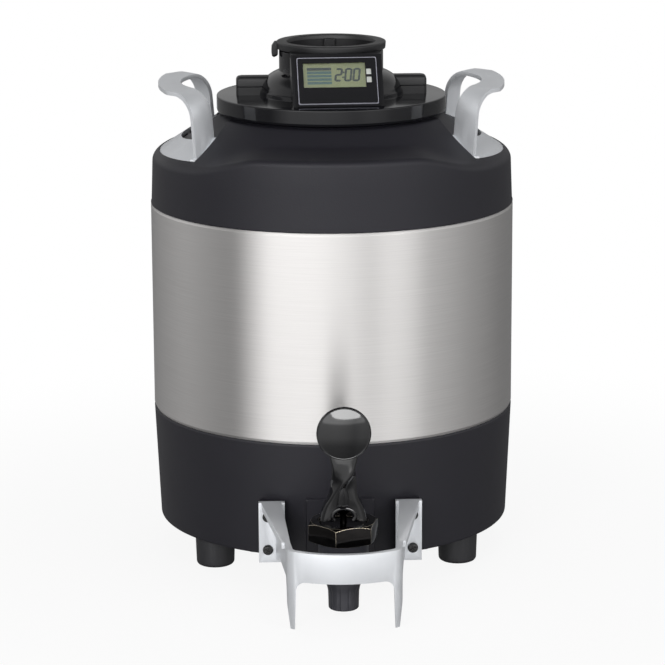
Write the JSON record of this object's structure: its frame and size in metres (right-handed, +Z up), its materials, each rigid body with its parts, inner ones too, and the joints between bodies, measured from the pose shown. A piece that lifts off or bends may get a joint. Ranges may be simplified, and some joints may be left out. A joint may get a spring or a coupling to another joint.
{
  "type": "thermal coffee server",
  "caption": "Insulated steel coffee server with black covers, side handles, twist-off brew-through lid with level display, and a guarded pull tap.",
  "frame": {"origin": "on the floor, under the middle of the whole part's box", "axes": "+Z up along the tank's axis, -Y towards the tap, +X to the right seen from the tap's side"},
  "size_m": [0.23, 0.307, 0.3261],
  "materials": {
    "brushed_band": "horizontally brushed stainless steel",
    "plain_steel": "satin stainless steel",
    "cover_plastic": "fine-grained matte black",
    "lid_gloss": "glossy black",
    "lid_matte": "matte black",
    "silver_paint": "satin silver paint on metal",
    "black_screw": "black oxide",
    "foot_rubber": "black rubber",
    "silicone": "food grade silicone",
    "dark_seal": "dark silicone",
    "tap_plastic": "satin dark grey",
    "bonnet_black": "polished black nickel",
    "lever_gloss": "glossy black",
    "brass_nut": "turned brass",
    "window_clear": "clear plastic",
    "lcd_green": "olive green liquid crystal panel",
    "light_white": "white",
    "board_green": "green circuit board"
  },
  "bodies": {
    "server": {"outer_shell": "brushed_band", "inner_tank": "plain_steel", "drain_clamps": "plain_steel", "tap_shank": "plain_steel", "bottom_screws": "plain_steel", "foot_screws": "plain_steel", "handle_screws": "plain_steel", "base_cover": "cover_plastic", "top_cover": "cover_plastic", "bottom_plate": "cover_plastic", "neck_ring": "lid_matte", "left_handle": "silver_paint", "right_handle": "silver_paint", "tap_guard": "silver_paint", "guard_screws": "black_screw", "foot_front_left": "foot_rubber", "foot_front_right": "foot_rubber", "foot_rear_left": "foot_rubber", "foot_rear_right": "foot_rubber", "drain_elbow": "silicone", "shank_washer": "silicone", "tap_body": "tap_plastic", "tap_spout": "tap_plastic", "tap_bonnet": "bonnet_black", "shank_nut": "brass_nut"},
    "valve": {"tap_stem": "plain_steel", "seat_cup": "silicone", "tap_spring": "plain_steel"},
    "lever": {"tap_lever": "lever_gloss", "lever_pin": "plain_steel", "tap_knob": "lever_gloss"},
    "lid_seal": {"lid_gasket": "dark_seal"},
    "lid": {"lid_body": "lid_gloss", "lid_plug": "lid_matte", "mixing_tube": "plain_steel", "display_housing": "lid_gloss", "display_window": "window_clear", "lcd_panel": "lcd_green", "indicator_lights": "light_white", "display_board": "board_green", "battery_cell": "plain_steel"},
    "funnel": {"brew_funnel": "lid_matte"}
  },
  "joints": [
    {"name": "lid_lift", "type": "slide", "parent": "server", "child": "lid_seal", "axis": [0, 0, 1], "range_m": [0, 0.2]},
    {"name": "lid_twist", "type": "hinge", "parent": "lid_seal", "child": "lid", "pos_m": [0, 0.0385, 0.2841], "axis": [0, 0, 1], "range_deg": [-30, 0]},
    {"name": "funnel_lift", "type": "slide", "parent": "lid", "child": "funnel", "axis": [0, 0, 1], "range_m": [0, 0.06]},
    {"name": "stem_lift", "type": "slide", "parent": "server", "child": "valve", "axis": [0, 0, 1], "range_m": [0, 0.004], "stiffness_N_per_m": 300, "springref_m": -0.003, "deforming": ["tap_spring"]},
    {"name": "lever_tilt", "type": "hinge", "parent": "valve", "child": "lever", "pos_m": [0, -0.1215, 0.0681], "axis": [1, 0, 0], "range_deg": [0, 40]}
  ],
  "couplings": [
    {"joint": "stem_lift", "follows": "lever_tilt", "m_per_rad": 0.00572}
  ]
}
